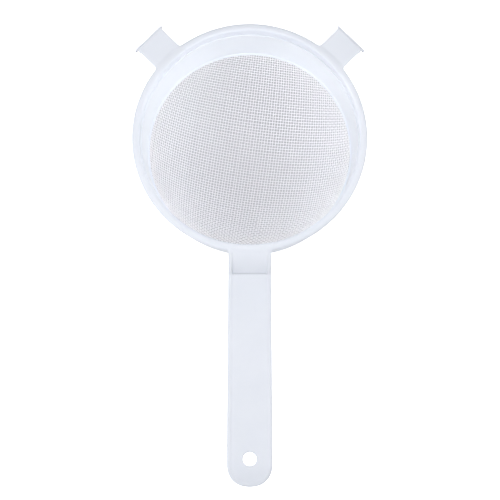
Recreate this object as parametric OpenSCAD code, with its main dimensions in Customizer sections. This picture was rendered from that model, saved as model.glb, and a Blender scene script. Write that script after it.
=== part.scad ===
// Double sieve strainer for honey: a moulded hoop with a flat handle and two hook ears.
// Two woven cloths are clamped in the hoop by a press ring and a spacer ring.
// Origin: centre of the hoop in the plane of the ears' undersides (the seating plane).
// +Z points out of the mouth, the handle runs to -Y, the ears lie on the +Y side.

/* [Hoop] */
// Outer diameter of the rim flange
rim_d = 160; // [150:1:170]
// Height of the hoop wall below the seating plane
wall_depth = 44.2; // [43.8:0.1:46]
// Outer radius of the hoop wall at its top
wall_r_top = 76.3; // [76:0.1:77]
// Outer radius of the hoop wall at its bottom
wall_r_bottom = 74.4; // [74.3:0.1:75]
// Thickness of the rim flange at its inner edge
flange_t = 2.4; // [2:0.1:3]
// Height of the skirt that hangs from the flange's outer edge
skirt_h = 2.2; // [1.5:0.1:3]

/* [Rings] */
// Inner radius of the hoop's open mouth above the press ring
mouth_r = 74.6; // [74.4:0.1:74.8]
// Depth of the press ring's top edge below the seating plane
ring_z = 6.2; // [5:0.1:7]
// Inner radius of the press ring at its top
sleeve_r_top = 73.6; // [73.2:0.1:73.7]
// Inner radius of the press ring just above its foot
sleeve_r_bottom = 72.2; // [71.8:0.1:72.4]
// Depth of the press ring's foot below the seating plane
foot_z = 41.1; // [40.6:0.1:41.3]
// Depth of the snap bead that locks the press ring into the hoop
snap_z = 12; // [9:0.5:20]
// Height of the snap bead on the press ring
snap_h = 0.3; // [0.2:0.05:0.4]
// Inner radius of the rings where the cloths leave them
throat_r = 70.8; // [70.4:0.1:71.2]

/* [Cloths] */
// Radius of the drawn dome of each cloth
dome_r = 75; // [74:1:82]
// Distance between neighbouring threads of the coarse cloth
pitch = 2.1; // [1.8:0.1:3]
// Thread diameter of the coarse cloth
thread_d = 0.54; // [0.3:0.02:0.6]
// Turn of the weave about the mouth's axis
weave_turn = 8; // [0:0.5:20]
// Thickness of the fine cloth
fine_t = 0.35; // [0.3:0.05:0.5]

/* [Handle] */
// Width of the handle
handle_w = 29.4; // [26:0.2:32]
// Distance from the hoop's centre to the handle's end
handle_reach = 234.5; // [220:0.5:250]
// Height of the handle's side walls
handle_h = 6.6; // [5:0.2:9]
// Distance from the hoop's centre to the step where the grip starts
grip_start = 94.5; // [92:0.5:100]
// Diameter of the hanging hole
hole_d = 9; // [8:0.5:11]
// Distance from the hoop's centre to the hanging hole
hole_reach = 216.5; // [210:0.5:220]

/* [Ears] */
// Width of each hook ear
ear_w = 22.4; // [18:0.2:26]
// Distance from the hoop's centre to the outer foot of the ears' lips
ear_reach = 99.6; // [94:0.2:104]
// Outward flare of the lip between its top edge and its foot
lip_flare = 1; // [0:0.1:1.5]
// Depth of the hook lip below the ears' undersides
lip_h = 4.6; // [3:0.2:8]

/* [Hidden] */
$fn = 128;

// Hoop
rim_r = rim_d / 2;
skirt_top = flange_t - 2;
skirt_bottom = skirt_top - skirt_h;
core_r = wall_r_top - 0.8;         // keeps handle and ears out of the hoop's inside
cut_depth = 60;                    // reach of the clearing cuts below the seating plane

// Stack of parts on the hoop's ledge, as depths below the seating plane
fine_brim_t = 0.3;
coarse_brim_t = 0.8;
ledge_top = wall_depth - 1.3;
spacer_bottom = ledge_top - fine_brim_t;
spacer_top = foot_z + coarse_brim_t;

// Fits in the bore
bore_r_bottom = wall_r_bottom - 1.2;
ring_gap = 0.06;                   // press ring to bore
spacer_gap = 0.1;                  // spacer ring and coarse brim to bore
fine_gap = 0.15;                   // fine brim to bore
snap_r = bore_at(snap_z) + snap_h; // crest of the snap bead, before clearance

// Cloths
coarse_face_gap = 0.02;            // coarse brim to the rings above and below
fine_face_gap = 0.01;              // fine brim to the spacer ring and the ledge
weave_gap = 0.01;                  // dome sphere to the surface of the threads
thread_margin = 3;                 // throat to the outermost thread, at least
thread_trim = 0.3;                 // taken off each end of a thread
coarse_centre = dome_centre(foot_z + coarse_brim_t / 2, throat_r + 0.1);
fine_centre = dome_centre(spacer_bottom, throat_r + 0.2);

// Handle
handle_top = 1.9;
handle_bottom = handle_top - handle_h;
handle_inner = 60;                 // the plan starts here, inside the hoop
end_r = handle_w / 2;
end_y = handle_reach - end_r;
side_t = 2;                        // side wall
skin_t = 2.1;                      // top skin
boss_wall = 2.2;
spine_t = 1.6;                     // rib along the handle
rib_t = 1.4;                       // ribs across the handle
rib_count = 6;
rib_start = 104;
rib_pitch = 20.5;
rib_recess = 1.2;                  // cross ribs start this far above the side walls' edge
neck_bead_w = 2.7;                 // bead left on each side of the scooped neck

// Ears
ear_top = ear_reach - lip_flare;   // outer end of the flat tops
ear_inner = 70;                    // the section starts here, inside the hoop
ear_t = 2;
gusset_t = 1.5;

// Radius of the hoop's tapered inner wall at depth z below the seating plane
function bore_at(z) =
    mouth_r + (bore_r_bottom - mouth_r) * max(0, z - ring_z) / (ledge_top - ring_z);

// Height of a dome's centre so that its sphere passes through radius r at depth z
function dome_centre(z, r) = -z + sqrt(dome_r * dome_r - r * r);

// One turned profile, given as points [radius, height]
module turned(points) {
    rotate_extrude(convexity = 6) polygon(points);
}

// Flat ring between two depths
module flat_ring(inner_r, outer_r, top, bottom) {
    turned([[inner_r, -top], [outer_r, -top], [outer_r, -bottom], [inner_r, -bottom]]);
}

// Section in [y, z], extruded along X about centre_x
module handle_section(width, points, centre_x = 0) {
    translate([centre_x - width / 2, 0, 0]) rotate([90, 0, 90])
        linear_extrude(width) polygon(points);
}

// Section in [x, z], extruded along Y about centre_y
module ear_section(width, points, centre_y = 0) {
    translate([0, centre_y + width / 2, 0]) rotate([90, 0, 0])
        linear_extrude(width) polygon(points);
}

// Space inside the hoop that handle and ears must leave free
module hoop_core() {
    translate([0, 0, -cut_depth]) cylinder(r = core_r, h = cut_depth + 20);
}

module hoop() {
    turned([
        // rounded mouth edge and sloping flange
        [mouth_r, flange_t - 1.5], [mouth_r + 0.4, flange_t - 0.6],
        [mouth_r + 1, flange_t - 0.1], [mouth_r + 1.7, flange_t],
        [rim_r - 1.2, flange_t - 0.7], [rim_r - 0.4, flange_t - 1.2],
        // skirt
        [rim_r, skirt_top], [rim_r, skirt_bottom + 0.4],
        [rim_r - 0.4, skirt_bottom], [rim_r - 1.2, skirt_bottom], [rim_r - 1.5, 0.1],
        // outer wall, rounded at the bottom
        [wall_r_top + 0.4, -0.1], [wall_r_top, -0.6],
        [wall_r_bottom, -wall_depth + 2.2], [wall_r_bottom - 0.4, -wall_depth + 1.1],
        [wall_r_bottom - 1.4, -wall_depth + 0.2], [wall_r_bottom - 2.2, -wall_depth],
        // ledge
        [throat_r + 0.9, -wall_depth], [throat_r + 0.6, -wall_depth + 0.4],
        [throat_r + 0.6, -ledge_top], [bore_r_bottom, -ledge_top],
        // groove for the press ring's snap bead
        [bore_at(snap_z + 0.9), -snap_z - 0.9], [snap_r + 0.05, -snap_z - 0.4],
        [snap_r + 0.05, -snap_z + 0.4], [bore_at(snap_z - 0.9), -snap_z + 0.9],
        [mouth_r, -ring_z]
    ]);
}

// Plan outline of the handle, its sides and end moved inwards by inset
module handle_plan(inset = 0) {
    width = handle_w - 2 * inset;
    translate([-width / 2, -end_y]) square([width, end_y - handle_inner]);
    translate([0, -end_y]) circle(r = width / 2);
}

// Hollow underside, less the boss and ribs that stay in it
module handle_hollow() {
    solid_z = -handle_h - 2;
    solid_h = handle_h + 4;
    difference() {
        translate([0, 0, handle_bottom - 1])
            linear_extrude(handle_h - skin_t + 1) handle_plan(side_t);
        // boss round the hanging hole
        translate([0, -hole_reach, solid_z]) cylinder(d = hole_d + 2 * boss_wall, h = solid_h);
        // rib along the middle
        translate([-spine_t / 2, -hole_reach, solid_z])
            cube([spine_t, hole_reach - handle_inner, solid_h]);
        // ribs across
        for (i = [0:rib_count - 1])
            translate([-end_r, -(rib_start + i * rib_pitch) - rib_t / 2, handle_bottom + rib_recess])
                cube([handle_w, rib_t, handle_h]);
    }
}

module handle() {
    neck_y = -(rim_r + 0.5);
    difference() {
        translate([0, 0, handle_bottom]) linear_extrude(handle_h) handle_plan();
        handle_hollow();
        // scooped neck between the side beads, deepest at the grip's step
        handle_section(handle_w - 2 * neck_bead_w, [
            [-grip_start, handle_top - 1.3], [-grip_start, handle_top + 2],
            [neck_y, handle_top + 2], [neck_y, handle_top - 0.05],
            [-(rim_r + 8), handle_top - 0.55]
        ]);
        // hanging hole
        translate([0, -hole_reach, -20]) cylinder(d = hole_d, h = 40);
        hoop_core();
    }
}

// Deep webs that carry the handle into the hoop's wall
module handle_root() {
    for (side = [-1, 1])
        difference() {
            handle_section(side_t, [
                [-70, 0], [-106, handle_bottom + 0.4], [-100, handle_bottom],
                [-88, -8], [-80, -13], [-70, -18]
            ], side * (end_r - side_t / 2));
            // cone inside the hoop's tapered wall
            translate([0, 0, -cut_depth])
                cylinder(r1 = wall_r_bottom - 1, r2 = core_r, h = cut_depth + 10);
        }
}

// One ear, pointing along +X
module ear() {
    difference() {
        union() {
            // plate and turned-down lip in one bent section
            ear_section(ear_w, [
                [ear_inner, ear_t], [ear_top - 0.6, ear_t], [ear_top, ear_t - 0.7],
                [ear_reach, -lip_h + 0.3], [ear_reach - 0.3, -lip_h], [ear_reach - 1.7, -lip_h],
                [ear_top - 1.9, 0], [ear_inner, 0]
            ]);
            // small gussets in the corner under the plate
            for (side = [-1, 1])
                ear_section(gusset_t, [
                    [ear_top - 1.2, 0.5], [ear_reach - 1.5, -3.2], [ear_top - 4.2, 0.5]
                ], side * (ear_w / 2 - gusset_t / 2));
        }
        hoop_core();
    }
}

module frame() {
    color("white") union() {
        hoop();
        handle();
        handle_root();
        for (angle = [45, 135]) rotate([0, 0, angle]) ear();
    }
}

module press_ring() {
    bead_r = snap_r - 0.02;
    color("whitesmoke") turned([
        // top edge
        [sleeve_r_top, -ring_z - 6], [sleeve_r_top, -ring_z - 0.3],
        [sleeve_r_top + 0.25, -ring_z], [mouth_r - 0.2, -ring_z],
        // outer face with the snap bead
        [bore_at(ring_z + 0.4) - ring_gap, -ring_z - 0.4],
        [bore_at(snap_z - 0.8) - ring_gap, -snap_z + 0.8],
        [bead_r, -snap_z + 0.25], [bead_r, -snap_z - 0.25],
        [bore_at(snap_z + 0.8) - ring_gap, -snap_z - 0.8],
        // foot, reaching in to the throat
        [bore_at(foot_z) - ring_gap, -foot_z], [throat_r, -foot_z],
        [throat_r, -foot_z + 0.7], [throat_r + 0.4, -foot_z + 1.2],
        [sleeve_r_bottom - 0.3, -foot_z + 1.5], [sleeve_r_bottom, -foot_z + 2]
    ]);
}

// Threads in parallel planes across X, each an arc of its plane's circle on the dome.
// offset_r moves the threads' centre lines outwards from the dome's sphere.
module threads(offset_r) {
    count = floor((throat_r - thread_margin) / pitch);   // on each side of the middle one
    sphere_r = dome_r + offset_r;
    end_depth = spacer_top + 0.1;                        // just below the coarse brim
    for (i = [-count:count]) {
        x = i * pitch;
        arc_r = sqrt(sphere_r * sphere_r - x * x);
        half_angle = acos((end_depth + coarse_centre) / arc_r) - asin(thread_trim / arc_r);
        translate([x, 0, coarse_centre]) rotate([90, 0, 90]) rotate([0, 0, -90 - half_angle])
            rotate_extrude(angle = 2 * half_angle)
                translate([arc_r, 0]) circle(d = thread_d, $fn = 6);
    }
}

// Outer layer of threads
module coarse_warp() {
    color("gainsboro") rotate([0, 0, -weave_turn]) threads(thread_d / 2 + weave_gap);
}

// Inner layer of threads, square to the warp
module coarse_weft() {
    color("lightgray") rotate([0, 0, 90 - weave_turn]) threads(-thread_d / 2 - weave_gap);
}

// Flat heat-sealed edge of the coarse cloth, under the press ring's foot
module coarse_brim() {
    color("gainsboro") flat_ring(
        inner_r = throat_r + 0.25,
        outer_r = bore_at(spacer_top) - spacer_gap,
        top = foot_z + coarse_face_gap,
        bottom = spacer_top - coarse_face_gap
    );
}

// Spacer between the two cloths' brims, tapered with the bore
module spacer_ring() {
    inner_r = throat_r + 0.5;
    color("whitesmoke") turned([
        [inner_r, -spacer_top], [bore_at(spacer_top) - spacer_gap, -spacer_top],
        [bore_at(spacer_bottom) - spacer_gap, -spacer_bottom], [inner_r, -spacer_bottom]
    ]);
}

// Second, finer cloth: a thin drawn dome with a flat brim
module fine_cloth() {
    color("white") union() {
        rotate_extrude(convexity = 6) difference() {
            intersection() {
                translate([0, fine_centre]) difference() {
                    circle(r = dome_r);
                    circle(r = dome_r - fine_t);
                }
                // only the part below the middle of the brim
                translate([0, -200]) square([100, 200 - spacer_bottom - fine_brim_t / 2]);
            }
            // nothing left of the axis
            translate([-200, -200]) square([200, 400]);
        }
        flat_ring(
            inner_r = throat_r - 0.6,
            outer_r = bore_at(spacer_bottom) - fine_gap,
            top = spacer_bottom + fine_face_gap,
            bottom = ledge_top - fine_face_gap
        );
    }
}

frame();
press_ring();
coarse_warp();
coarse_weft();
coarse_brim();
spacer_ring();
fine_cloth();
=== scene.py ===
"""A white moulded strainer: a deep hoop with a long handle, two ears, a press ring and two cloths.

The hoop's axis is Z, with its top near z = 0 and the cloths hanging below. The handle runs
towards -Y, and the ears stand out on the diagonals towards +X +Y and -X +Y. Shapes are worked
out in millimetres; meshes, lights, camera and shader positions are in metres.
"""
import math

import bpy
import numpy as np
from mathutils import Matrix, Vector


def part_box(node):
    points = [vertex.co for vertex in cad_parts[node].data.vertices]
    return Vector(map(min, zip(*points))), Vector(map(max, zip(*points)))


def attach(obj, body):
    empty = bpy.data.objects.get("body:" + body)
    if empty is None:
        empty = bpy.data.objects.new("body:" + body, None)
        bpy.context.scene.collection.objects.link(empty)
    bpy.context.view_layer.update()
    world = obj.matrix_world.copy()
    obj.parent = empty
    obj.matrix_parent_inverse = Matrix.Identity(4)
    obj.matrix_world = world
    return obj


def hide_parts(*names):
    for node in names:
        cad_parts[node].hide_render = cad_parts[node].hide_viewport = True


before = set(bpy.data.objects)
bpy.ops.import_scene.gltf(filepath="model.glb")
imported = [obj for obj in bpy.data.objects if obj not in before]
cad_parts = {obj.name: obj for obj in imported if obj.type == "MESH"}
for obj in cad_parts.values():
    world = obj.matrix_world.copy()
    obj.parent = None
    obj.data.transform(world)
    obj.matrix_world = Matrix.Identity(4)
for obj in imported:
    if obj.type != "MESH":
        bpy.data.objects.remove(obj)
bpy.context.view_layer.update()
MM = 0.001

# ---------------------------------------------------------------- sizes from the CAD boxes (mm)
HANDLE_END = -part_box("frame")[0].y / MM
press_low, press_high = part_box("press_ring")
PRESS_BOTTOM = press_low.z / MM              # underside of the press ring's foot
PRESS_TOP = press_high.z / MM                # its top edge, down in the mouth
FINE_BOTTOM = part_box("fine_cloth")[0].z / MM
COARSE_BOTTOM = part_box("coarse_warp")[0].z / MM
spacer_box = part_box("spacer_ring")
brim_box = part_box("coarse_brim")


# ---------------------------------------------------------------- distance-field helpers
def blend_min(a, b, reach):
    """Union with a soft fillet."""
    overlap = np.clip(reach - np.abs(a - b), 0, None) / reach
    return np.minimum(a, b) - overlap * overlap * reach * 0.25


def blend_max(a, b, reach):
    """Intersection with a soft fillet."""
    return -blend_min(-a, -b, reach)


def round_max(a, b, radius):
    """Intersection with a true round edge."""
    inside = np.minimum(np.maximum(a, b), -radius)
    return inside + np.hypot(np.clip(a + radius, 0, None), np.clip(b + radius, 0, None))


def ease(start, end, x):
    """0 at start, 1 at end, with a smooth S between."""
    t = np.clip((x - start) / (end - start), 0, 1)
    return t * t * (3 - 2 * t)


def polygon_field(px, py, points):
    """Signed distance to a closed polygon, negative inside."""
    squared = np.full(px.shape, 1e9)
    inside = np.zeros(px.shape, bool)
    for i, (ax, ay) in enumerate(points):
        bx, by = points[(i + 1) % len(points)]
        edge_x, edge_y = bx - ax, by - ay
        from_x, from_y = px - ax, py - ay
        length2 = edge_x * edge_x + edge_y * edge_y
        t = np.clip((from_x * edge_x + from_y * edge_y) / length2, 0, 1)
        squared = np.minimum(squared, (from_x - edge_x * t) ** 2 + (from_y - edge_y * t) ** 2)
        if ay != by:
            inside ^= ((ay > py) != (by > py)) & (px < edge_x * (py - ay) / (by - ay) + ax)
    distance = np.sqrt(squared)
    return np.where(inside, -distance, distance)


def box_field(x, y, half_x, half_y, radius):
    """Signed distance to a rectangle with round corners."""
    dx, dy = np.abs(x) - half_x + radius, np.abs(y) - half_y + radius
    outside = np.hypot(np.clip(dx, 0, None), np.clip(dy, 0, None))
    return outside + np.minimum(np.maximum(dx, dy), 0) - radius


# ---------------------------------------------------------------- moulding: hoop, handle and ears
HOOP_ROUND = 0.5                             # the hoop's section is grown by this, rounding it
# Hoop section before growing: (radius, height). Over the top bead, back under the flange, down
# the wall's outside, round the foot and up the inside.
HOOP_SECTION = [
    (75.1, 0.55), (75.17, 1.0), (75.42, 1.45), (75.85, 1.78), (76.4, 1.9), (77.4, 1.85),
    (78.4, 1.63), (79.1, 1.2), (79.42, 0.7), (79.5, 0.1), (79.5, -1.3), (79.15, -1.3),
    (79.0, 0.0), (78.6, 0.32), (76.6, 0.32), (75.95, -0.3), (75.75, -1.2),
    (73.9, -41.6), (73.55, -42.8), (72.9, -43.6), (72.2, -43.7), (72.0, -43.6), (72.0, -43.45),
    (73.72, -43.42), (75.1, -6.2),
]
BORE_R = 74.6                                # clear radius above the taper
BORE_FLOOR = -42.6                           # the bore isn't cut below this
INNER_LIMIT_R = 75.2                         # handle and ears stay outside this

NECK_WIDTH, END_WIDTH = 28.8, 30.1           # handle width near the hoop and at the end
TAPER_START, TAPER_RUN = 94.0, 128.0
END_R = END_WIDTH / 2
END_Y = -(HANDLE_END - END_R)
END_POWER = 2.25                             # slightly squarer than a half circle
HOLE_Y = -216.5
HOLE_R = 4.5
NECK_START = 79.0
STEP_Y = -94.3                               # step between the scooped neck and the grip

BEAD_Z, CROWN_Z, NECK_Z = 1.96, 1.82, 1.70   # handle's top: edge bead, grip middle, neck
NECK_SCOOP = 1.9
GROOVE_IN, GROOVE_DEPTH, GROOVE_WIDTH = 2.75, 0.13, 0.40
END_FALL = 1.9

UNDERSIDE_Z = -4.7
DEEP_START, DEEP_RUN, DEEP_DROP = 104.0, 28.0, 14.0   # underside deepens towards the hoop
SIDE_WALL, ROOF = 2.0, 2.1
SPINE_HALF, SPINE_TOP = 0.75, 0.5
RIB_START, RIB_PITCH, RIB_LAST, RIB_HALF, RIB_BOTTOM = 104.0, 20.5, 5, 0.7, -3.7
BOSS_R = 7.2

EAR_MIDDLE, EAR_HALF_LENGTH, EAR_HALF_WIDTH = 86.4, 12.4, 11.1
EAR_TOP, EAR_DISH = 1.95, 0.12
LIP_OUT, LIP_FLARE, LIP_HALF, LIP_HALF_WIDTH = 98.9, 0.16, 0.85, 12.5
LIP_TOP, LIP_BOTTOM, LIP_SINK = 1.9, -4.6, 0.95
WEB_ACROSS, WEB_HALF = 10.35, 0.7


def half_width(y):
    t = np.clip((-y - TAPER_START) / TAPER_RUN, 0, 1)
    return (NECK_WIDTH + (END_WIDTH - NECK_WIDTH) * t) / 2


def plan(x, y, shrink=0.0):
    """Handle outline in plan."""
    side = np.abs(x) - (half_width(y) - shrink)
    past = np.clip(END_Y - y, 0, None)
    reach = (np.abs(x) ** END_POWER + past ** END_POWER + 1e-9) ** (1 / END_POWER)
    return np.where(y > END_Y, side, reach - (END_R - shrink))


def top_height(x, y):
    """Top of the handle: side beads, scooped neck, then a step up to the grip."""
    edge = -plan(x, y)                       # distance in from the outline
    bead = BEAD_Z - 0.30 * ease(2.0, 0.2, edge)
    crown = CROWN_Z - 0.08 * ease(6.0, 2.4, edge)
    groove = GROOVE_DEPTH * np.exp(-((edge - GROOVE_IN) / GROOVE_WIDTH) ** 2)
    middle = ease(2.35, 3.15, edge)
    grip = bead * (1 - middle) + crown * middle - groove
    t = np.clip((-y - NECK_START) / (-STEP_Y - NECK_START), 0, 1)
    scoop = NECK_Z - NECK_SCOOP * t ** 1.7
    neck = bead * (1 - middle) + scoop * middle
    step = ease(-STEP_Y - 0.5, -STEP_Y + 0.35, -y)
    ridge = 0.16 * np.exp(-((-y + STEP_Y - 1.1) / 0.7) ** 2) * middle * step
    height = neck * (1 - step) + grip * step + ridge
    return height - END_FALL * ease(HANDLE_END - 24.0, HANDLE_END + 4.0, -y) ** 1.5


def bottom_height(y):
    t = np.clip((DEEP_START + y) / DEEP_RUN, 0, 1)
    return np.full(y.shape, UNDERSIDE_Z) - DEEP_DROP * t ** 2.2


def handle_field(x, y, z):
    top = z - top_height(x, y)
    body = round_max(plan(x, y), top, radius=1.25)
    body = round_max(body, bottom_height(y) - z, radius=0.5)
    # hollow underside, keeping a spine, cross ribs and the boss round the hole
    roof = z - (top_height(x, y) - ROOF)
    pocket = round_max(plan(x, y, SIDE_WALL), roof, radius=0.7)
    spine = np.maximum(np.abs(x) - SPINE_HALF, z - SPINE_TOP)
    spine = np.maximum(spine, HOLE_Y - y)
    nearest = np.clip(np.round((-y - RIB_START) / RIB_PITCH), 0, RIB_LAST)
    ribs = np.abs(-y - RIB_START - RIB_PITCH * nearest) - RIB_HALF
    ribs = np.maximum(ribs, RIB_BOTTOM - z)
    boss = np.hypot(x, y - HOLE_Y) - BOSS_R
    keep = blend_min(blend_min(spine, ribs, reach=0.8), boss, reach=0.8)
    pocket = blend_max(pocket, -keep, reach=0.7)
    return blend_max(body, -pocket, reach=0.5)


def ear_field(x, y, z, side):
    """An ear on the diagonal: a plate, a bent-down lip and two webs beneath."""
    c = math.sqrt(0.5)
    along = (x * side + y) * c
    across = (-x * side + y) * c
    outline = box_field(along - EAR_MIDDLE, across, EAR_HALF_LENGTH, EAR_HALF_WIDTH, radius=0.6)
    # a slight dish keeps the top from being dead flat
    dish = np.cos(np.clip(across / EAR_HALF_WIDTH, -1, 1) * math.pi / 2)
    plate_top = EAR_TOP - EAR_DISH * dish
    plate = round_max(outline, np.maximum(z - plate_top, -z), radius=0.45)
    # the lip flares a little outward, and its top sits a little below the plate
    out = along - (LIP_OUT + LIP_FLARE * (1.2 - z))
    lip = box_field(out + LIP_HALF, across, LIP_HALF, LIP_HALF_WIDTH, radius=0.4)
    lip = round_max(lip, np.maximum(z - LIP_TOP, LIP_BOTTOM - z), radius=0.4)
    lip_top = plate_top - LIP_SINK * ease(-1.7, -1.35, out)
    ear = blend_min(plate, lip, reach=0.8)
    ear = round_max(ear, round_max(z - lip_top, out, radius=0.7), radius=0.2)
    slope = (along - 93.6) * -0.75 - (z + 0.2) * 0.66
    webs = np.maximum(np.abs(np.abs(across) - WEB_ACROSS) - WEB_HALF, slope)
    webs = np.maximum(webs, np.maximum(along - 97.0, z - 0.8))
    return blend_min(ear, webs, reach=0.5)


def where_near(near, field, x, y, z, *extra):
    """The field where `near` holds, and a large distance elsewhere."""
    distance = np.full(x.shape, 50.0)
    if near.any():
        distance[near] = field(x[near], y[near], z[near], *extra)
    return distance


def tapered_radius(radius, z):
    """A radius that narrows below z = -6.2, as the wall does."""
    return radius + 1.4 * np.clip(z + 6.2, -40, 0) / 36.7


def moulding_field(points):
    x, y, z = points[:, 0], points[:, 1], points[:, 2]
    r = np.hypot(x, y)
    whole = polygon_field(r, z, HOOP_SECTION) - HOOP_ROUND
    inner = tapered_radius(INNER_LIMIT_R, z) - r
    handle = np.maximum(where_near(y < -60, handle_field, x, y, z), inner)
    whole = blend_min(whole, handle, reach=1.6)
    for side in (1, -1):
        ear = where_near((x * side > 30) & (y > 30), ear_field, x, y, z, side)
        whole = blend_min(whole, np.maximum(ear, inner), reach=2.0)
    # bore and hole stay true
    bore = tapered_radius(BORE_R, z) - r
    whole = np.where(z > BORE_FLOOR, np.maximum(whole, bore), whole)
    hole = HOLE_R - np.hypot(x, y - HOLE_Y)
    return np.where(y < -200, round_max(whole, hole, radius=0.22), whole)


def surface_nets(field, low, high, cell):
    """Sampled surface of field = 0 as a quad mesh, then pulled on to the exact surface."""
    block = 8                                # cells along a block; far blocks are only filled
    slack = 1.35                             # the field may change faster than true distance
    far = 5.0
    batch = 1500                             # blocks sampled at a time
    low = np.array(low, float)
    size = np.ceil((np.array(high, float) - low) / cell / block).astype(int) * block
    grid = np.full(tuple(size + 1), far, np.float32)
    counts = size // block
    blocks = np.stack(np.meshgrid(*[np.arange(k) for k in counts], indexing="ij"), -1)
    blocks = blocks.reshape(-1, 3)
    middle = field(low + (blocks + 0.5) * block * cell)
    sign = np.where(middle < 0, -far, far).astype(np.float32).reshape(counts)
    for axis in range(3):
        sign = np.repeat(sign, block, axis)
    grid[:-1, :-1, :-1] = sign

    # sample only the blocks the surface may cross
    half_diagonal = block * cell * math.sqrt(3) / 2
    active = blocks[np.abs(middle) < half_diagonal * slack + 0.4]
    offsets = np.stack(np.meshgrid(*[np.arange(block + 1)] * 3, indexing="ij"), -1).reshape(-1, 3)
    for start in range(0, len(active), batch):
        index = (active[start:start + batch, None, :] * block + offsets[None]).reshape(-1, 3)
        grid[index[:, 0], index[:, 1], index[:, 2]] = field(low + index * cell)

    # one vertex in each cell with corners on both sides
    corners = np.array([[i, j, k] for i in (0, 1) for j in (0, 1) for k in (0, 1)])
    negative = grid < 0
    inside = np.zeros(tuple(size), np.uint8)
    for i, j, k in corners:
        inside += negative[i:i + size[0], j:j + size[1], k:k + size[2]]
    cells = np.argwhere((inside > 0) & (inside < 8))
    vertex_id = np.full(tuple(size), -1, np.int64)
    vertex_id[cells[:, 0], cells[:, 1], cells[:, 2]] = np.arange(len(cells))
    values = np.stack([grid[cells[:, 0] + i, cells[:, 1] + j, cells[:, 2] + k]
                       for i, j, k in corners], 1)
    total = np.zeros((len(cells), 3))
    crossings = np.zeros(len(cells))
    for i in range(8):
        for j in range(i + 1, 8):
            if np.abs(corners[i] - corners[j]).sum() != 1:
                continue
            cut = (values[:, i] < 0) != (values[:, j] < 0)
            t = values[cut, i] / (values[cut, i] - values[cut, j])
            total[cut] += corners[i] + (corners[j] - corners[i]) * t[:, None]
            crossings[cut] += 1
    verts = low + (cells + total / crossings[:, None]) * cell

    # one quad round each grid edge that crosses the surface
    quads = []
    for axis in range(3):
        near, beyond = [slice(None)] * 3, [slice(None)] * 3
        near[axis], beyond[axis] = slice(0, -1), slice(1, None)
        starts = negative[tuple(near)]
        edges = np.argwhere(starts != negative[tuple(beyond)])
        side1, side2 = (axis + 1) % 3, (axis + 2) % 3
        edges = edges[(edges[:, side1] > 0) & (edges[:, side2] > 0)
                      & (edges[:, side1] < size[side1]) & (edges[:, side2] < size[side2])]
        outward = starts[edges[:, 0], edges[:, 1], edges[:, 2]]
        ids = []
        for step1, step2 in ((-1, -1), (0, -1), (0, 0), (-1, 0)):
            cell_at = edges.copy()
            cell_at[:, side1] += step1
            cell_at[:, side2] += step2
            ids.append(vertex_id[cell_at[:, 0], cell_at[:, 1], cell_at[:, 2]])
        quad = np.stack(ids, 1)
        quad[~outward] = quad[~outward][:, ::-1]
        quads.append(quad)

    for _ in range(3):
        distance = field(verts)
        slope = np.empty_like(verts)
        for axis in range(3):
            nudge = np.zeros(3)
            nudge[axis] = 0.05
            slope[:, axis] = (field(verts + nudge) - field(verts - nudge)) / 0.1
        steepness = np.clip((slope * slope).sum(1), 0.25, None)
        move = -(distance / steepness)[:, None] * slope
        length = np.linalg.norm(move, axis=1)
        limit = np.clip(0.5 * cell / np.clip(length, 1e-9, None), 0, 1)
        verts = verts + move * limit[:, None]
    return verts, np.concatenate(quads)


# ---------------------------------------------------------------- objects
def add_object(name, data):
    obj = bpy.data.objects.new(name, data)
    bpy.context.scene.collection.objects.link(obj)
    return obj


def shade_smooth(mesh):
    mesh.polygons.foreach_set("use_smooth", np.ones(len(mesh.polygons), bool))
    mesh.update()


def mesh_object(name, verts_mm, faces):
    """Smooth-shaded object from vertices in millimetres and faces of one size."""
    mesh = bpy.data.meshes.new(name)
    verts = np.asarray(verts_mm, float) * MM
    sides = faces.shape[1]
    mesh.vertices.add(len(verts))
    mesh.vertices.foreach_set("co", verts.astype(np.float32).ravel())
    mesh.loops.add(len(faces) * sides)
    mesh.loops.foreach_set("vertex_index", faces.astype(np.int32).ravel())
    mesh.polygons.add(len(faces))
    mesh.polygons.foreach_set("loop_start", (np.arange(len(faces)) * sides).astype(np.int32))
    mesh.update(calc_edges=True)
    mesh.validate()
    shade_smooth(mesh)
    return add_object(name, mesh)


def hand_over(obj, material, cad_piece):
    obj.data.materials.append(material)
    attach(obj, "root")
    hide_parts(cad_piece)


# ---------------------------------------------------------------- turned rings
def rounded(points, radii, steps=5):
    """Closed profile with each corner eased to a curve of about its radius."""
    out = []
    count = len(points)
    for i, radius in enumerate(radii):
        before, corner, after = (np.array(points[(i + j - 1) % count], float) for j in range(3))
        back, ahead = before - corner, after - corner
        back_length, ahead_length = np.linalg.norm(back), np.linalg.norm(ahead)
        back, ahead = back / back_length, ahead / ahead_length
        angle = math.acos(max(-1, min(1, float(back @ ahead))))
        if radius <= 0 or angle > math.pi - 0.02:
            out.append(tuple(corner))
            continue
        inset = min(radius / math.tan(angle / 2), back_length * 0.48, ahead_length * 0.48)
        start, end = corner + back * inset, corner + ahead * inset
        for t in np.linspace(0, 1, steps):
            out.append(tuple((1 - t) ** 2 * start + 2 * t * (1 - t) * corner + t * t * end))
    return out


def subdivide(points, longest):
    """Split the sides of a closed profile so that none is longer than `longest`."""
    out = []
    for i, point in enumerate(points):
        a, b = np.array(point), np.array(points[(i + 1) % len(points)])
        pieces = max(1, int(math.ceil(np.linalg.norm(b - a) / longest)))
        for j in range(pieces):
            out.append(tuple(a + (b - a) * j / pieces))
    return out


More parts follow.
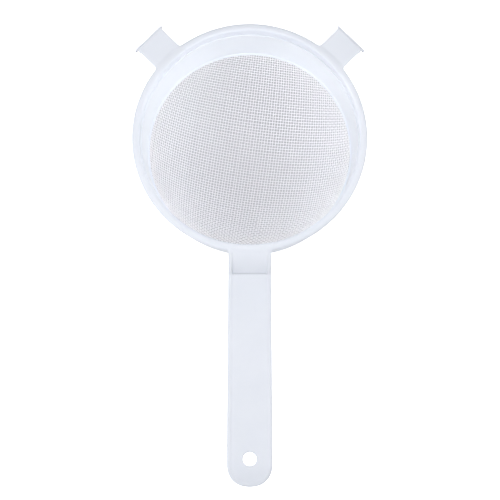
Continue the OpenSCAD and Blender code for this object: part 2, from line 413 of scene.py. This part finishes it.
def lathe(name, profile, segments=320):
    """Turn a closed (radius, height) profile about Z."""
    profile = np.array(profile)
    radius, height = profile[:, 0], profile[:, 1]
    count = len(profile)
    angle = np.arange(segments) * 2 * math.pi / segments
    verts = np.stack([radius[None, :] * np.cos(angle)[:, None],
                      radius[None, :] * np.sin(angle)[:, None],
                      np.broadcast_to(height, (segments, count))], -1).reshape(-1, 3)
    i, j = np.meshgrid(np.arange(segments), np.arange(count), indexing="ij")
    i2, j2 = (i + 1) % segments, (j + 1) % count
    quads = np.stack([i * count + j, i2 * count + j, i2 * count + j2, i * count + j2], -1)
    quads = quads.reshape(-1, 4)
    if np.sum(radius * np.roll(height, -1) - np.roll(radius, -1) * height) > 0:
        quads = quads[:, ::-1]
    return mesh_object(name, verts, quads)


def flat_ring(name, inner, box, corner):
    """Flat ring that fills a CAD box, with a given inner and corner radius."""
    outer, top, bottom = box[1].x / MM, box[1].z / MM, box[0].z / MM
    points = [(inner, top), (outer, top), (outer, bottom), (inner, bottom)]
    return lathe(name, rounded(points, [corner] * 4, steps=4))


# ---------------------------------------------------------------- woven cloths
COARSE_PITCH, COARSE_DIAMETER = 2.08, 0.56
COARSE_TURN = math.radians(-8.0)
COARSE_TAIL = 0.6                            # threads run on past the ring by this
WOBBLE = 0.03                                # unevenness, as a share of the pitch
THREAD_SIDES = 6
STEPS_PER_PITCH = 4


class Dome:
    """A drawn cloth: radius and height against distance along the cloth from the middle."""

    def __init__(self, ring_z, bottom_z, ring_r, stretch=0.17):
        depth = ring_z - bottom_z
        sphere_r = (ring_r ** 2 + depth ** 2) / (2 * depth)
        self.centre_z = bottom_z + sphere_r
        self.ring_r = ring_r
        angle = np.linspace(0, math.pi * 0.62, 800)
        self.r = sphere_r * np.sin(angle)
        self.z = self.centre_z - sphere_r * np.cos(angle)
        arc = sphere_r * angle
        # the cloth stretches more towards the ring
        self.cloth = arc / (1 + stretch * (arc / arc[-1]) ** 2)
        widest = 650                         # samples up to about the sphere's widest place
        self.edge = np.interp(ring_r, self.r[:widest], self.cloth[:widest])

    def place(self, u, v, lift=0.0):
        """Cloth coordinates to space, lifted along the outward normal; also the normal."""
        along = np.hypot(u, v)
        r = np.interp(along, self.cloth, self.r)
        z = np.interp(along, self.cloth, self.z)
        scale = np.where(along > 1e-6, r / np.maximum(along, 1e-6), 1.0)
        point = np.stack([u * scale, v * scale, z], -1)
        normal = point - np.array([0, 0, self.centre_z])
        normal /= np.linalg.norm(normal, axis=-1, keepdims=True)
        return point + normal * np.asarray(lift)[..., None], normal


def weave(name, dome, family, seed):
    """One family of coarse threads, passing over and under the other family."""
    rng = np.random.default_rng(seed)
    pitch, sides = COARSE_PITCH, THREAD_SIDES
    reach = dome.edge + COARSE_TAIL
    count = int(reach / pitch)
    cos_turn, sin_turn = math.cos(COARSE_TURN), math.sin(COARSE_TURN)
    ring = np.arange(sides) * 2 * math.pi / sides
    ring_cos, ring_sin = np.cos(ring)[None, :, None], np.sin(ring)[None, :, None]
    verts, faces, base = [], [], 0
    for i in range(-count, count + 1):
        offset = i * pitch + rng.normal(0, WOBBLE * pitch)
        half = math.sqrt(max(reach * reach - offset * offset, 0))
        if half < pitch * 1.5:
            continue
        steps = max(8, int(2 * half / pitch * STEPS_PER_PITCH))
        along = np.linspace(-half, half, steps)
        phase = rng.uniform(0, 6.28)
        drift = WOBBLE * pitch * 0.8 * np.sin(along / (11.0 + rng.uniform(-3, 3)) + phase)
        lift = 0.5 * COARSE_DIAMETER * 0.96 * np.cos(math.pi * (along / pitch))
        lift = lift * (1 if i % 2 == 0 else -1)
        across = np.full(steps, offset) + drift
        if family == "weft":
            lift = -lift
            cloth_u, cloth_v = along, across
        else:
            cloth_u, cloth_v = across, along
        u = cloth_u * cos_turn - cloth_v * sin_turn
        v = cloth_u * sin_turn + cloth_v * cos_turn
        path, normal = dome.place(u, v, lift)
        tangent = np.gradient(path, axis=0)
        tangent /= np.linalg.norm(tangent, axis=1, keepdims=True)
        side = np.cross(tangent, normal)
        side /= np.linalg.norm(side, axis=1, keepdims=True)
        up = np.cross(side, tangent)
        around = ring_cos * side[:, None, :] + ring_sin * up[:, None, :]
        verts.append((path[:, None, :] + COARSE_DIAMETER / 2 * around).reshape(-1, 3))
        a, s = np.meshgrid(np.arange(steps - 1), np.arange(sides), indexing="ij")
        s2 = (s + 1) % sides
        quads = np.stack([a * sides + s, a * sides + s2,
                          (a + 1) * sides + s2, (a + 1) * sides + s], -1)
        faces.append(quads.reshape(-1, 4) + base)
        for end in (0, steps - 1):           # both ends closed
            cap = base + end * sides + np.arange(sides)
            if end == 0:
                cap = cap[::-1]
            faces.append(cap[[[0, 1, 2, 3], [0, 3, 4, 5]]])
        base += steps * sides
    return mesh_object(name, np.concatenate(verts), np.concatenate(faces))


def cloth_sheet(name, dome, reach, brim_r, thick, rings=72, segments=288):
    """Fine cloth: a thin closed dome with a flat brim.

    Its UV map holds cloth coordinates in millimetres for the weave.
    """
    angle = np.arange(segments) * 2 * math.pi / segments
    cos, sin = np.cos(angle), np.sin(angle)
    upper, lower, uv = [], [], []
    for along in np.linspace(0, reach, rings)[1:]:
        u, v = along * cos, along * sin
        point, normal = dome.place(u, v)
        upper.append(point)
        lower.append(point + normal * thick)
        uv.append(np.stack([u, v], -1))
    brim_z = upper[-1][0, 2] + 0.02
    # brim circles: upper radius, and how much wider the lower circle is
    for r, wider in ((dome.ring_r + 0.9, 0.25), (brim_r, 0.0)):
        low_r = r + wider
        cloth_r = reach + r - dome.ring_r
        upper.append(np.stack([r * cos, r * sin, np.full(segments, brim_z)], -1))
        lower.append(np.stack([low_r * cos, low_r * sin, np.full(segments, brim_z - thick)], -1))
        uv.append(np.stack([cloth_r * cos, cloth_r * sin], -1))
    rows = len(upper)
    layer_size = rows * segments
    point, normal = dome.place(np.array([0.0]), np.array([0.0]))
    verts = np.concatenate(upper + lower + [point, point + normal * thick])
    i, j = np.meshgrid(np.arange(rows - 1), np.arange(segments), indexing="ij")
    j2 = (j + 1) % segments
    top = np.stack([i * segments + j, (i + 1) * segments + j,
                    (i + 1) * segments + j2, i * segments + j2], -1).reshape(-1, 4)
    bottom = top[:, ::-1] + layer_size
    k = np.arange(segments)
    k2 = (k + 1) % segments
    last = (rows - 1) * segments
    rim = np.stack([last + k, last + layer_size + k, last + layer_size + k2, last + k2], -1)
    quads = np.concatenate([top, bottom, rim])
    centre = 2 * layer_size
    top_fan = [(centre, int(a), int(b)) for a, b in zip(k, k2)]
    bottom_fan = [(centre + 1, int(b + layer_size), int(a + layer_size)) for a, b in zip(k, k2)]
    mesh = bpy.data.meshes.new(name)
    mesh.from_pydata([tuple(co) for co in verts * MM], [],
                     [tuple(map(int, quad)) for quad in quads] + top_fan + bottom_fan)
    uvs = np.concatenate(uv + uv + [[[0, 0], [0, 0]]])
    layer = mesh.uv_layers.new(name="cloth")
    loop_verts = np.zeros(len(mesh.loops), np.int32)
    mesh.loops.foreach_get("vertex_index", loop_verts)
    layer.data.foreach_set("uv", uvs[loop_verts].astype(np.float32).ravel())
    shade_smooth(mesh)
    return add_object(name, mesh)


# ---------------------------------------------------------------- shader helpers
def feed(socket, value):
    """Link a node's output into the socket, or set the socket's value."""
    if isinstance(value, bpy.types.NodeSocket):
        socket.id_data.links.new(value, socket)
    else:
        socket.default_value = value


def put(node, **values):
    """Feed inputs by name, with _ for a space; other names are the node's own settings."""
    for key, value in values.items():
        socket = key.replace("_", " ")
        if socket in node.inputs:
            feed(node.inputs[socket], value)
        else:
            setattr(node, key, value)


def add_node(tree, kind, **values):
    node = tree.nodes.new("ShaderNode" + kind)
    put(node, **values)
    return node


def fed_in_order(node, values):
    """Feed a node's inputs in their order and return its first output."""
    for socket, value in zip(node.inputs, values):
        feed(socket, value)
    return node.outputs[0]


def maths(tree, operation, *values):
    return fed_in_order(add_node(tree, "Math", operation=operation), values)


def mix_shader(tree, factor, first, second):
    return fed_in_order(add_node(tree, "MixShader"), (factor, first, second))


def mix_colour(tree, factor, first, second, blend="MIX"):
    """Colour mix; on this node the colours are inputs 6 and 7 and output 2."""
    mix = add_node(tree, "Mix", data_type="RGBA", blend_type=blend)
    for index, value in ((0, factor), (6, first), (7, second)):
        feed(mix.inputs[index], value)
    return mix.outputs[2]


def shaded(colour, factors=(1, 1, 1)):
    """Opaque colour, each channel scaled."""
    return (*(c * f for c, f in zip(colour, factors)), 1)


def new_material(name):
    material = bpy.data.materials.new(name)
    material.use_nodes = True
    tree = material.node_tree
    return material, tree, tree.nodes["Principled BSDF"]


# ---------------------------------------------------------------- materials
# span in y, in metres, of the painted shade ramp
SHADE_FROM, SHADE_TO = -0.24, 0.09
# Painted shade along the length: (y in metres, brightness factor), from the handle's end to the
# ears. It darkens the handle's end where the light falls away, the scooped neck just before the
# step, and the far side with the ears. Tuned to the wanted tones; it isn't derived from wall
# thickness.
FRAME_PAINTED_SHADE = [
    (-0.238, 0.905), (-0.228, 0.925), (-0.221, 0.955), (-0.195, 0.945), (-0.16, 0.947),
    (-0.0953, 0.95), (-0.0943, 0.862), (-0.089, 0.90), (-0.082, 0.945), (-0.078, 0.985),
    (0.035, 0.99), (0.055, 0.93), (0.08, 0.93),
]


def paint_shade_along_y(tree, place, colour, shade_stops):
    """Painted shade: multiply a colour by a brightness that changes along Y."""
    split = add_node(tree, "SeparateXYZ", Vector=place)
    position = add_node(tree, "MapRange", Value=split.outputs["Y"],
                        From_Min=SHADE_FROM, From_Max=SHADE_TO)
    ramp = add_node(tree, "ValToRGB", Fac=position.outputs["Result"])
    elements = ramp.color_ramp.elements
    # the ramp starts with two stops, which take the end stations
    for i, (y, tone) in enumerate([shade_stops[0], shade_stops[-1], *shade_stops[1:-1]]):
        at = (y - SHADE_FROM) / (SHADE_TO - SHADE_FROM)
        element = elements[i] if i < 2 else elements.new(at)
        element.position = at
        element.color = (tone, tone, tone, 1)
    return mix_colour(tree, 1.0, colour, ramp.outputs["Color"], blend="MULTIPLY")


def plastic(name, colour, tint, subsurface, specular, rough=0.38, sheen=0.0, shade_stops=None):
    """Moulded polypropylene: cool tint, faint flow marks, fine grain and rubbed patches; where
    shade stops are given, painted shade along Y.
    """
    material, tree, bsdf = new_material(name)
    place = add_node(tree, "TexCoord").outputs["Object"]
    patches = add_node(tree, "TexNoise", Vector=place, Scale=28.0, Detail=3.0, Roughness=0.55)
    flow = add_node(tree, "TexNoise", Vector=place, Scale=9.0, Detail=6.0, Roughness=0.65,
                    Distortion=1.2)
    flow_mix = add_node(tree, "MapRange", Value=flow.outputs["Fac"], From_Min=0.35, From_Max=0.72)
    base = mix_colour(tree, flow_mix.outputs["Result"], shaded(colour), shaded(tint))
    # painted shade along Y, from the stops given
    if shade_stops:
        base = paint_shade_along_y(tree, place, base, shade_stops)
    roughness = add_node(tree, "MapRange", Value=patches.outputs["Fac"],
                         From_Min=0.3, From_Max=0.7, To_Min=rough - 0.05, To_Max=rough + 0.07)
    grain = add_node(tree, "TexNoise", Vector=place, Scale=2600.0, Detail=2.0, Roughness=0.5)
    streaks = add_node(tree, "TexNoise", Scale=420.0, Detail=2.0)
    drawn_out = add_node(tree, "Mapping", Vector=place, Scale=(1.0, 0.06, 1.0),
                         Rotation=(0, 0, 0.25))
    put(streaks, Vector=drawn_out.outputs["Vector"])
    grain_bump = add_node(tree, "Bump", Strength=0.10, Distance=0.00006,
                          Height=grain.outputs["Fac"])
    streak_bump = add_node(tree, "Bump", Strength=0.05, Distance=0.00012,
                           Height=streaks.outputs["Fac"], Normal=grain_bump.outputs["Normal"])
    put(bsdf, Base_Color=base, Roughness=roughness.outputs["Result"],
        Normal=streak_bump.outputs["Normal"], Subsurface_Weight=subsurface,
        Subsurface_Radius=(0.0030, 0.0030, 0.0034), Subsurface_Scale=1.0,
        Specular_IOR_Level=specular, IOR=1.49, Sheen_Weight=sheen, Sheen_Roughness=0.45)
    return material


def nylon(name, colour, rough=0.34):
    """Nylon monofilament: off-white, slightly uneven along the thread."""
    material, tree, bsdf = new_material(name)
    place = add_node(tree, "TexCoord").outputs["Object"]
    uneven = add_node(tree, "TexNoise", Vector=place, Scale=160.0, Detail=3.0, Roughness=0.6)
    uneven = uneven.outputs["Fac"]
    base = mix_colour(tree, uneven, shaded(colour), shaded(colour, (0.93, 0.935, 0.95)))
    roughness = add_node(tree, "MapRange", Value=uneven, To_Min=rough - 0.06, To_Max=rough + 0.08)
    fine = add_node(tree, "TexNoise", Vector=place, Scale=3800.0, Detail=1.0)
    bump = add_node(tree, "Bump", Strength=0.06, Distance=0.00003, Height=fine.outputs["Fac"])
    put(bsdf, Base_Color=base, Roughness=roughness.outputs["Result"],
        Normal=bump.outputs["Normal"], Transmission_Weight=0.0, IOR=1.53, Specular_IOR_Level=0.5)
    return material


def fine_weave(name, colour, pitch=0.5, cover=1.15):
    """Over-and-under threads drawn from the cloth coordinates, with open holes between."""
    material, tree, bsdf = new_material(name)
    cloth = add_node(tree, "UVMap", uv_map="cloth").outputs["UV"]
    turned = add_node(tree, "Mapping", Vector=cloth, Rotation=(0, 0, math.radians(-6.0)),
                      Scale=(1 / pitch, 1 / pitch, 1))
    split = add_node(tree, "SeparateXYZ", Vector=turned.outputs["Vector"])
    axes = split.outputs["X"], split.outputs["Y"]
    # 0 midway between threads, 0.5 on a thread's middle
    near_x, near_y = (
        maths(tree, "ABSOLUTE", maths(tree, "SUBTRACT", maths(tree, "FRACT", axis), 0.5))
        for axis in axes)
    thread_edge = 0.5 - 0.5 * cover * 0.62
    on_x, on_y = (maths(tree, "GREATER_THAN", near, thread_edge) for near in (near_x, near_y))
    solid = maths(tree, "MAXIMUM", on_x, on_y)
    wave_x, wave_y = (
        maths(tree, "SINE", maths(tree, "MULTIPLY", axis, math.pi)) for axis in axes)
    over = maths(tree, "MULTIPLY", wave_x, wave_y)
    uneven = add_node(tree, "TexNoise", Vector=cloth, Scale=0.35, Detail=3.0)
    base = mix_colour(tree, uneven.outputs["Fac"], shaded(colour),
                      shaded(colour, (0.92, 0.925, 0.94)))
    height = maths(tree, "ADD", maths(tree, "MULTIPLY", over, 0.5),
                   maths(tree, "MAXIMUM", near_x, near_y))
    bump = add_node(tree, "Bump", Strength=0.5, Distance=0.00008, Height=height)
    put(bsdf, Base_Color=base, Roughness=0.42, Normal=bump.outputs["Normal"])
    glow = add_node(tree, "BsdfTranslucent", Color=base)
    thread = mix_shader(tree, 0.4, bsdf.outputs[0], glow.outputs[0])
    opening = add_node(tree, "BsdfTransparent")
    surface = mix_shader(tree, solid, opening.outputs[0], thread)
    put(tree.nodes["Material Output"], Surface=surface)
    return material


frame_plastic = plastic("frame_polypropylene", colour=(0.815, 0.846, 0.917),
                        tint=(0.775, 0.81, 0.885), subsurface=0.08, specular=0.3,
                        shade_stops=FRAME_PAINTED_SHADE)
# The ring's plastic is a lighter copy of the frame's: painted light for the glow the bowl's
# translucent inner wall shows.
ring_plastic = plastic("ring_polypropylene", colour=(0.85, 0.885, 0.955),
                       tint=(0.83, 0.87, 0.945), subsurface=0.3, specular=0.2, rough=0.5,
                       sheen=0.25)
coarse_nylon = nylon("coarse_monofilament", colour=(0.95, 0.95, 0.965))
# The fine cloth is grey, not the white of its nylon: painted shade for the shadowed second layer
# seen through the coarse holes.
fine_cloth_painted_shade = fine_weave("fine_monofilament_cloth", colour=(0.60, 0.595, 0.62))

# ---------------------------------------------------------------- build the pieces
CELL = 0.55
moulding = mesh_object("strainer_moulding", *surface_nets(
    moulding_field, low=(-82, -240, -46), high=(82, 88, 5), cell=CELL))
hand_over(moulding, frame_plastic, "frame")

# Press ring section: (radius, height, corner radius)
PRESS_SECTION = [
    (73.85, -12.2, 0), (73.9, PRESS_TOP, 0.45), (74.57, PRESS_TOP, 0.04),
    (74.5, PRESS_TOP - 0.8, 0), (73.2, PRESS_BOTTOM, 0.3), (70.8, PRESS_BOTTOM, 0.35),
    (70.8, PRESS_BOTTOM + 1.05, 0.4), (72.2, PRESS_BOTTOM + 1.4, 0.35),
    (72.2, PRESS_BOTTOM + 2.6, 0),
]
press_profile = rounded([row[:2] for row in PRESS_SECTION], [row[2] for row in PRESS_SECTION])
press = lathe("press_ring_moulded", subdivide(press_profile, longest=2.0), segments=360)
hand_over(press, ring_plastic, "press_ring")

spacer = flat_ring("spacer_ring_moulded", inner=71.3, box=spacer_box, corner=0.18)
hand_over(spacer, ring_plastic, "spacer_ring")

coarse = Dome(ring_z=PRESS_BOTTOM - 0.4, bottom_z=COARSE_BOTTOM + 0.45, ring_r=70.8)
warp = weave("coarse_cloth_warp", coarse, "warp", seed=3)
weft = weave("coarse_cloth_weft", coarse, "weft", seed=5)
hand_over(warp, coarse_nylon, "coarse_warp")
hand_over(weft, coarse_nylon, "coarse_weft")

brim = flat_ring("coarse_cloth_brim", inner=71.05, box=brim_box, corner=0.2)
hand_over(brim, coarse_nylon, "coarse_brim")

fine = Dome(ring_z=spacer_box[0].z / MM - 0.15, bottom_z=FINE_BOTTOM + 0.2, ring_r=71.0)
sheet = cloth_sheet("fine_cloth_sheet", fine, reach=fine.edge + 0.4,
                    brim_r=spacer_box[1].x / MM - 0.1, thick=0.26)
hand_over(sheet, fine_cloth_painted_shade, "fine_cloth")


# ---------------------------------------------------------------- floor and world (metres)
def floor_material():
    material, tree, bsdf = new_material("pale_floor")
    # this base colour shows only if the mottling below is unlinked
    put(bsdf, Base_Color=(0.93, 0.93, 0.935, 1), Roughness=0.9, Specular_IOR_Level=0.05,
        Emission_Color=(1.0, 1.0, 1.0, 1), Emission_Strength=0.15)
    mottle = add_node(tree, "TexNoise", Scale=3.0, Detail=3.0)
    put(bsdf, Base_Color=mix_colour(tree, mottle.outputs["Fac"],
                                    (0.90, 0.90, 0.905, 1), (0.885, 0.885, 0.89, 1)))
    # burnt out to white where the camera sees it directly, not through a transparent surface
    path = add_node(tree, "LightPath")
    white = add_node(tree, "Emission", Strength=0.9)
    burnt = fed_in_order(add_node(tree, "AddShader"), (bsdf.outputs[0], white.outputs[0]))
    direct = maths(tree, "LESS_THAN", path.outputs["Transparent Depth"], 0.5)
    seen = maths(tree, "MULTIPLY", path.outputs["Is Camera Ray"], direct)
    put(tree.nodes["Material Output"], Surface=mix_shader(tree, seen, bsdf.outputs[0], burnt))
    return material


FLOOR_HALF = 3.0
floor_mesh = bpy.data.meshes.new("floor")
floor_mesh.from_pydata([(x * FLOOR_HALF, y * FLOOR_HALF, 0)
                        for x, y in ((-1, -1), (1, -1), (1, 1), (-1, 1))], [], [(0, 1, 2, 3)])
floor = add_object("floor", floor_mesh)
floor.location = (0, 0, FINE_BOTTOM * MM - 0.0004)
floor_mesh.materials.append(floor_material())

# a studio room, a little brighter towards the front (-Y)
scene = bpy.context.scene
world = bpy.data.worlds.new("studio")
scene.world = world
world.use_nodes = True
room = world.node_tree
direction = add_node(room, "TexCoord").outputs["Generated"]
split = add_node(room, "SeparateXYZ", Vector=direction)
brightness = add_node(room, "MapRange", Value=split.outputs["Y"],
                      From_Min=-0.8, From_Max=0.8, To_Min=0.38, To_Max=0.33)
put(room.nodes["Background"], Color=(1.0, 1.0, 1.0, 1), Strength=brightness.outputs["Result"])


# ---------------------------------------------------------------- lights (metres, watts)
def limit_reach(light, pieces):
    """Let a light reach only these pieces."""
    reached = bpy.data.collections.new(light.name + "_reach")
    for piece in pieces:
        reached.objects.link(piece)
    light.light_linking.receiver_collection = reached


def add_area(name, place, aim, size, power, pieces=()):
    data = bpy.data.lights.new(name, "AREA")
    data.shape = "RECTANGLE"
    data.size, data.size_y = size
    data.energy = power
    light = add_object(name, data)
    light.location = place
    light.rotation_euler = (Vector(aim) - Vector(place)).to_track_quat("-Z", "Y").to_euler()
    if pieces:
        limit_reach(light, pieces)
    return light


# name, place, size, power
STUDIO_LIGHTS = [
    ("key_left", (-0.75, 0.0, 1.15), (0.45, 1.3), 5.0),
    ("key_right", (0.75, 0.0, 1.15), (0.45, 1.3), 4.6),
    ("side_left", (-1.25, -0.5, 0.55), (1.0, 0.6), 5.3),
    ("side_right", (1.35, -0.2, 0.55), (1.0, 0.6), 3.3),
    ("front", (0.0, -1.5, 0.7), (1.2, 0.6), 1.2),
]
for name, place, size, power in STUDIO_LIGHTS:
    add_area(name, place, (0, -0.03, -0.02), size, power)

# a near softbox above the hoop, so the light falls away towards the handle's end
overhead = add_area("overhead", place=(0.0, 0.06, 0.6), aim=(0.0, 0.06, 0.0), size=(0.4, 0.4),
                    power=0.66)
overhead.visible_camera = False

# Fills for single pieces, tuned to the wanted tones: a rough stand-in for the light a
# translucent bowl passes on to its own inside. Name, place, side of the square, power, pieces.
CLOTH_FILLS = [
    ("cloth_fill", (0.0, -0.2, 1.7), 1.0, 13.6, (warp, weft)),
    ("cloth_fill_left", (-1.2, -0.1, 1.1), 0.8, 9.6, (warp, weft, sheet)),
    ("cloth_fill_right", (1.2, -0.1, 1.1), 0.8, 8.6, (warp, weft, sheet)),
    ("sheet_fill", (0.0, 0.0, 1.7), 1.0, 7.8, (sheet,)),
    ("cloth_fill_front", (0.0, -1.3, 0.95), 0.8, 5.2, (warp, weft, sheet)),
]
for name, place, side, power, pieces in CLOTH_FILLS:
    add_area(name, place, (0, 0, -0.05), (side, side), power, pieces)

# x and y direction from the middle, power
WALL_FILLS = [(1, 0, 3.8), (-1, 0, 0.05), (0, 1, 2.0), (0, -1, 5.9)]
for i, (x, y, power) in enumerate(WALL_FILLS):
    add_area("wall_fill_%d" % i, place=(1.2 * x, 1.2 * y, 0.6), aim=(0, 0, -0.02),
             size=(0.9, 0.5), power=power, pieces=(press,))

mouth_data = bpy.data.lights.new("mouth_fill", "POINT")
mouth_data.energy = 0.036
mouth_data.shadow_soft_size = 0.006
mouth = add_object("mouth_fill", mouth_data)
mouth.location = (-0.012, 0.02, -0.003)
mouth.visible_camera = False
limit_reach(mouth, (moulding,))

# ---------------------------------------------------------------- camera
CAMERA_TILT = math.radians(10.0)             # leans from straight down, from the handle's side
CAMERA_DISTANCE = 949.1525424 * MM
CAMERA_DROP = 77.1525424 * MM                # moved down its own up axis, towards the handle
CAMERA_AIM = Vector((0.00018, 0, 0.0015))

camera_data = bpy.data.cameras.new("camera")
camera_data.sensor_width = 36.0
camera_data.lens = 100.8
camera_data.clip_start = 0.01
view = Vector((0, math.sin(CAMERA_TILT), -math.cos(CAMERA_TILT)))
up = Vector((0, math.cos(CAMERA_TILT), math.sin(CAMERA_TILT)))
camera = add_object("camera", camera_data)
camera.location = CAMERA_AIM - view * CAMERA_DISTANCE - up * CAMERA_DROP
camera.rotation_euler = Matrix((Vector((1, 0, 0)), up, -view)).transposed().to_euler()
scene.camera = camera
scene.view_settings.view_transform = "Standard"
scene.view_settings.look = "None"

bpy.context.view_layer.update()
